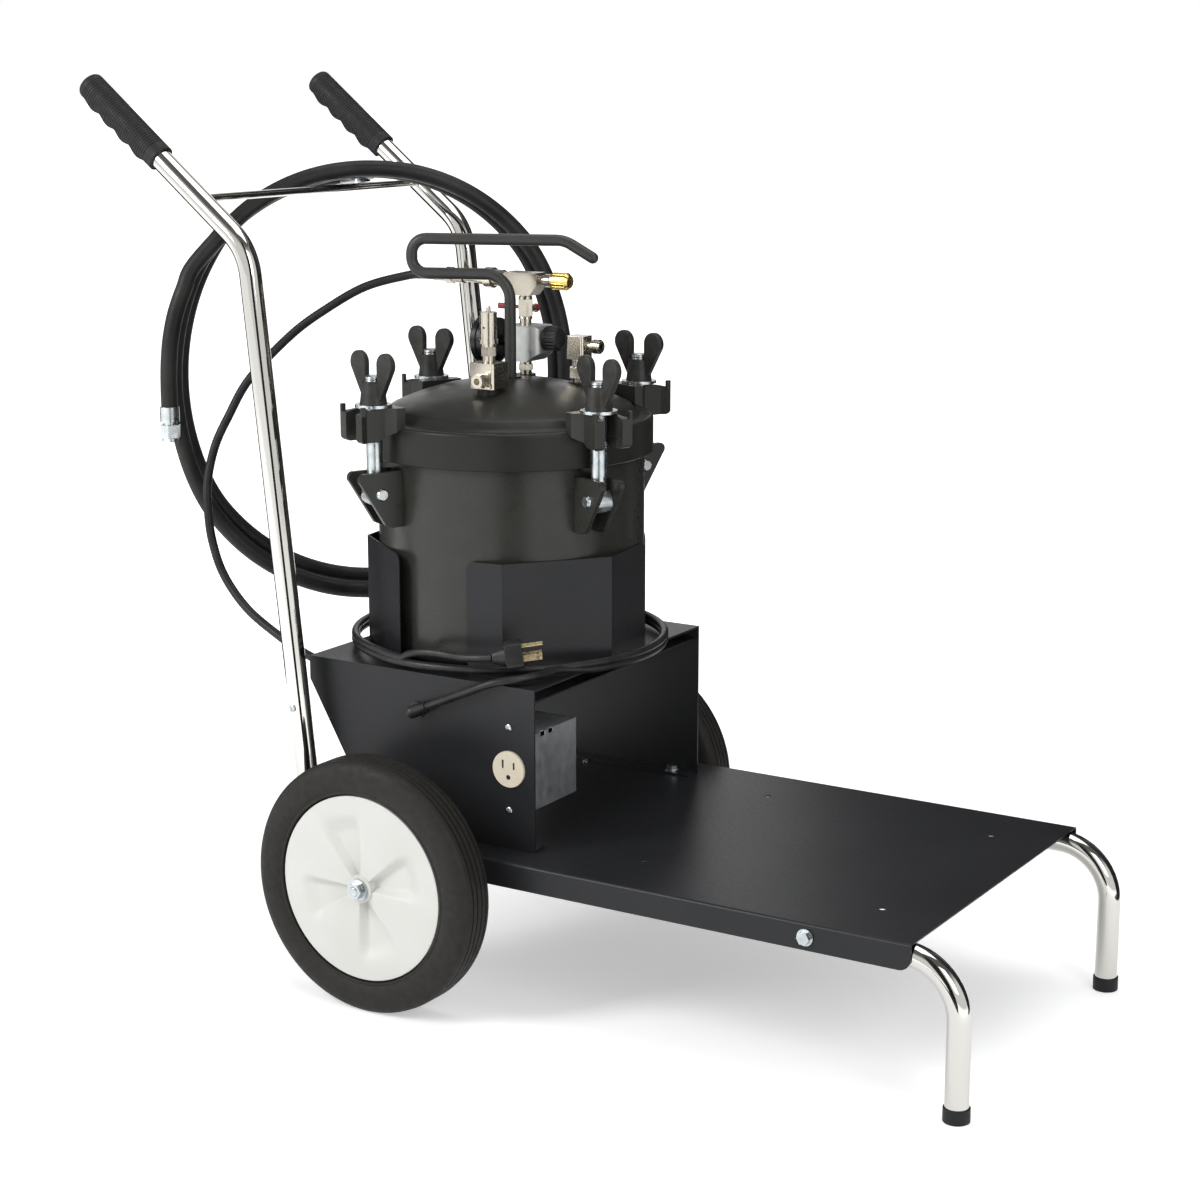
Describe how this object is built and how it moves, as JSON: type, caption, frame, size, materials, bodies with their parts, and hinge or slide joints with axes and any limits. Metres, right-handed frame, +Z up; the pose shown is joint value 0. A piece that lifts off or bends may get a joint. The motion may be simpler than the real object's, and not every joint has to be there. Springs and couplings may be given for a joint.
{
  "type": "paint pressure pot on a wheeled cart",
  "caption": "Clamped-lid paint pressure pot with air manifold, hose coil and power cord, on a two-wheeled tube-frame cart with a sheet-metal deck.",
  "frame": {"origin": "on the floor, centre of the cart's bounding box seen from above, without its hoses and cord", "axes": "+X from the handles towards the front legs, +Y to the cart's left, +Z up"},
  "size_m": [0.9976, 0.5398, 0.8953],
  "materials": {
    "chrome_tube": "polished chrome plate",
    "grip_rubber": "matt moulded rubber",
    "black_sheet": "semi-gloss black powder coat",
    "tank_paint": "charcoal semi-gloss enamel",
    "zinc": "bright zinc plate",
    "tyre_rubber": "solid black tread rubber",
    "hub_plastic": "moulded off-white polypropylene",
    "box_steel": "galvanised sheet",
    "ivory_plastic": "moulded ivory",
    "cord_rubber": "satin black jacket",
    "blade_brass": "dull brass",
    "gasket_rubber": "lid gasket",
    "nut_iron": "black oxide casting",
    "hook_paint": "black enamel",
    "nickel": "nickel plated brass",
    "regulator_cast": "light grey die casting",
    "knob_plastic": "fluted black plastic",
    "gauge_steel": "black gauge case",
    "lever_red": "red dipped sleeve",
    "cap_brass": "bright knurled brass"
  },
  "bodies": {
    "cart": {"frame_tube_right": "chrome_tube", "frame_tube_left": "chrome_tube", "grips": "grip_rubber", "foot_caps": "grip_rubber", "cross_rod": "chrome_tube", "deck_tray": "black_sheet", "fasteners": "zinc", "axle": "zinc", "axle_brackets": "black_sheet", "riser_box": "black_sheet", "device_box": "box_steel", "receptacle": "ivory_plastic", "strain_relief": "cord_rubber", "power_coil": "cord_rubber", "power_tail": "cord_rubber", "plug_body": "cord_rubber", "plug_blades": "blade_brass", "cradle_front": "black_sheet", "cradle_rear": "black_sheet", "tank_shell": "tank_paint", "lid": "tank_paint", "lid_gasket": "gasket_rubber", "lid_yokes": "tank_paint", "clamp_lugs": "tank_paint", "clamp_pins": "zinc", "lid_handle": "hook_paint", "pipe_nipples": "nickel", "regulator_body": "regulator_cast", "pressure_gauge": "gauge_steel", "ball_valve": "nickel", "manifold_tee": "nickel", "brass_cap": "cap_brass", "hose_coupler": "nickel", "relief_block": "nickel", "relief_valve": "nickel", "outlet_elbow": "nickel", "air_hose": "cord_rubber", "air_inlet_fitting": "nickel", "hose_coil": "cord_rubber", "hose_tail": "cord_rubber", "hose_end_fitting": "zinc"},
    "wheel_right": {"tyre_right": "tyre_rubber", "hub_right": "hub_plastic"},
    "wheel_left": {"tyre_left": "tyre_rubber", "hub_left": "hub_plastic"},
    "bolt_1": {"swing_bolt_1": "zinc"},
    "washer_1": {"clamp_washer_1": "zinc"},
    "nut_1": {"wing_nut_1": "nut_iron"},
    "bolt_2": {"swing_bolt_2": "zinc"},
    "washer_2": {"clamp_washer_2": "zinc"},
    "nut_2": {"wing_nut_2": "nut_iron"},
    "bolt_3": {"swing_bolt_3": "zinc"},
    "washer_3": {"clamp_washer_3": "zinc"},
    "nut_3": {"wing_nut_3": "nut_iron"},
    "bolt_4": {"swing_bolt_4": "zinc"},
    "washer_4": {"clamp_washer_4": "zinc"},
    "nut_4": {"wing_nut_4": "nut_iron"},
    "knob": {"regulator_knob": "knob_plastic"},
    "lever": {"valve_lever": "lever_red"},
    "relief_ring": {"relief_stem": "nickel"}
  },
  "joints": [
    {"name": "wheel_right_spin", "type": "hinge", "parent": "cart", "child": "wheel_right", "pos_m": [-0.11245, -0.2385, 0.127], "axis": [0, 1, 0], "continuous": true},
    {"name": "wheel_left_spin", "type": "hinge", "parent": "cart", "child": "wheel_left", "pos_m": [-0.11245, 0.2385, 0.127], "axis": [0, 1, 0], "continuous": true},
    {"name": "bolt_1_swing", "type": "hinge", "parent": "cart", "child": "bolt_1", "pos_m": [0.03935, -0.06447, 0.493], "axis": [0.4067, 0.9135, 0], "range_deg": [0, 60]},
    {"name": "washer_1_rise", "type": "slide", "parent": "bolt_1", "child": "washer_1", "axis": [0, 0, 1], "range_m": [0, 0.01386]},
    {"name": "nut_1_spin", "type": "hinge", "parent": "washer_1", "child": "nut_1", "pos_m": [0.03935, -0.06447, 0.5816], "axis": [0, 0, 1], "range_deg": [0, 2160]},
    {"name": "bolt_2_swing", "type": "hinge", "parent": "cart", "child": "bolt_2", "pos_m": [-0.04098, 0.1448, 0.493], "axis": [-0.9135, 0.4067, 0], "range_deg": [0, 60]},
    {"name": "washer_2_rise", "type": "slide", "parent": "bolt_2", "child": "washer_2", "axis": [0, 0, 1], "range_m": [0, 0.01386]},
    {"name": "nut_2_spin", "type": "hinge", "parent": "washer_2", "child": "nut_2", "pos_m": [-0.04098, 0.1448, 0.5816], "axis": [0, 0, 1], "range_deg": [0, 2160]},
    {"name": "bolt_3_swing", "type": "hinge", "parent": "cart", "child": "bolt_3", "pos_m": [-0.25024, 0.06447, 0.493], "axis": [-0.4067, -0.9135, 0], "range_deg": [0, 60]},
    {"name": "washer_3_rise", "type": "slide", "parent": "bolt_3", "child": "washer_3", "axis": [0, 0, 1], "range_m": [0, 0.01386]},
    {"name": "nut_3_spin", "type": "hinge", "parent": "washer_3", "child": "nut_3", "pos_m": [-0.25024, 0.06447, 0.5816], "axis": [0, 0, 1], "range_deg": [0, 2160]},
    {"name": "bolt_4_swing", "type": "hinge", "parent": "cart", "child": "bolt_4", "pos_m": [-0.16992, -0.1448, 0.493], "axis": [0.9135, -0.4067, 0], "range_deg": [0, 60]},
    {"name": "washer_4_rise", "type": "slide", "parent": "bolt_4", "child": "washer_4", "axis": [0, 0, 1], "range_m": [0, 0.01386]},
    {"name": "nut_4_spin", "type": "hinge", "parent": "washer_4", "child": "nut_4", "pos_m": [-0.16992, -0.1448, 0.5816], "axis": [0, 0, 1], "range_deg": [0, 2160]},
    {"name": "regulator_turn", "type": "hinge", "parent": "cart", "child": "knob", "pos_m": [-0.08665, 0.04, 0.633], "axis": [1, 0, 0], "range_deg": [-540, 540]},
    {"name": "valve_turn", "type": "hinge", "parent": "cart", "child": "lever", "pos_m": [-0.11345, 0.058, 0.6605], "axis": [0, 1, 0], "range_deg": [0, 90]},
    {"name": "relief_pull", "type": "slide", "parent": "cart", "child": "relief_ring", "axis": [0, 0, 1], "range_m": [0, 0.004], "stiffness_N_per_m": 400}
  ],
  "couplings": [
    {"joint": "nut_1_spin", "follows": "washer_1_rise", "rad_per_m": 2720},
    {"joint": "nut_2_spin", "follows": "washer_2_rise", "rad_per_m": 2720},
    {"joint": "nut_3_spin", "follows": "washer_3_rise", "rad_per_m": 2720},
    {"joint": "nut_4_spin", "follows": "washer_4_rise", "rad_per_m": 2720}
  ]
}
